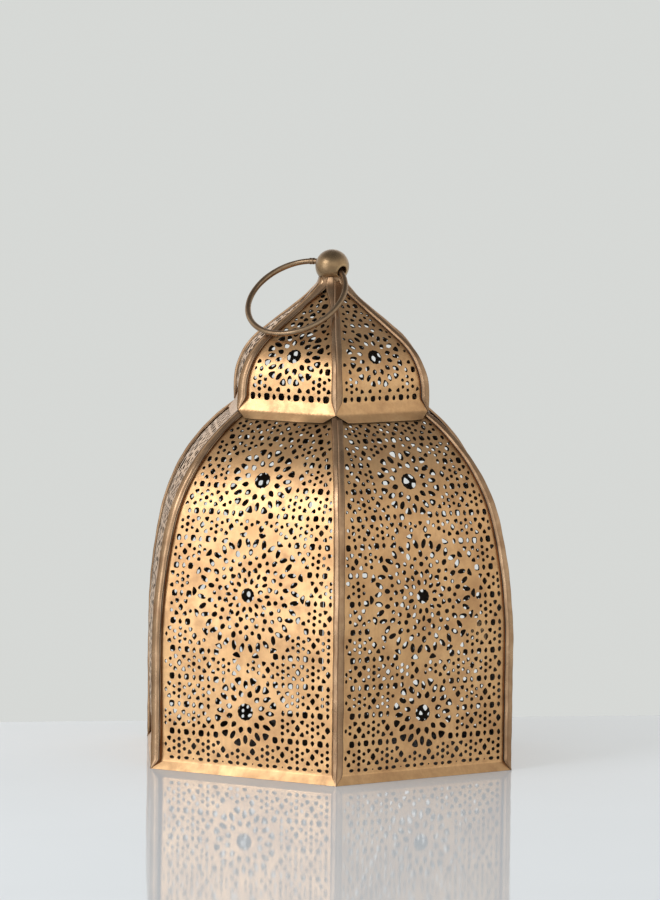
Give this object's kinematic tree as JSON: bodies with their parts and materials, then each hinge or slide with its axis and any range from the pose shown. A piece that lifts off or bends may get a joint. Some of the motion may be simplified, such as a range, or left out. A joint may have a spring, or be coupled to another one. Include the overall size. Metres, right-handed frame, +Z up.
{
  "type": "moroccan metal lantern",
  "caption": "Six-sided pierced brass lantern with a bulging body, a small onion dome, corner seams, a hinged rear door and a carrying ring through the ball finial.",
  "frame": {"origin": "centre of the flat underside, on the lantern's axis", "axes": "+Z up to the finial, -Y towards the front corner seam, +X to the right across the flats"},
  "size_m": [0.137, 0.1572, 0.1937],
  "materials": {
    "pierced_sheet": "antiqued satin",
    "seam": "antiqued satin",
    "inner_sheet": "dull, smoke-darkened",
    "turned_brass": "antiqued satin",
    "ring_wire": "antiqued satin",
    "hardware": "antiqued satin"
  },
  "bodies": {
    "lantern": {"body_panel_front_left": "pierced_sheet", "body_panel_front_right": "pierced_sheet", "body_panel_right": "pierced_sheet", "body_panel_back_left": "pierced_sheet", "body_panel_left": "pierced_sheet", "dome_panel_front_left": "pierced_sheet", "dome_panel_front_right": "pierced_sheet", "dome_panel_right": "pierced_sheet", "dome_panel_back_right": "pierced_sheet", "dome_panel_back_left": "pierced_sheet", "dome_panel_left": "pierced_sheet", "body_rib_front": "seam", "body_rib_front_right": "seam", "body_rib_back_right": "seam", "body_rib_back": "seam", "body_rib_back_left": "seam", "body_rib_front_left": "seam", "dome_rib_front": "seam", "dome_rib_front_right": "seam", "dome_rib_back_right": "seam", "dome_rib_back": "seam", "dome_rib_back_left": "seam", "dome_rib_front_left": "seam", "base_plate": "inner_sheet", "candle_cup": "inner_sheet", "finial_ball": "turned_brass", "finial_neck": "turned_brass", "cup_rivet": "hardware", "finial_stem": "hardware", "finial_nut": "hardware", "finial_washer": "hardware", "rib_hub": "hardware", "door_stop": "hardware", "hinge_bracket_lower": "hardware", "hinge_pin_lower": "hardware", "hinge_bracket_upper": "hardware", "hinge_pin_upper": "hardware"},
    "door": {"door_panel": "pierced_sheet", "door_knob": "turned_brass", "hinge_leaf_lower": "hardware", "hinge_leaf_upper": "hardware"},
    "ring": {"carry_ring": "ring_wire", "ring_ferrule": "ring_wire"}
  },
  "joints": [
    {"name": "door_swing", "type": "hinge", "parent": "lantern", "child": "door", "pos_m": [0.00377, 0.07634, 0.028], "axis": [0, 0, 1], "range_deg": [0, 105]},
    {"name": "ring_swing", "type": "hinge", "parent": "lantern", "child": "ring", "pos_m": [0, 0, 0.18725], "axis": [-0.6034, 0.7451, 0.284], "range_deg": [0, 250]}
  ]
}
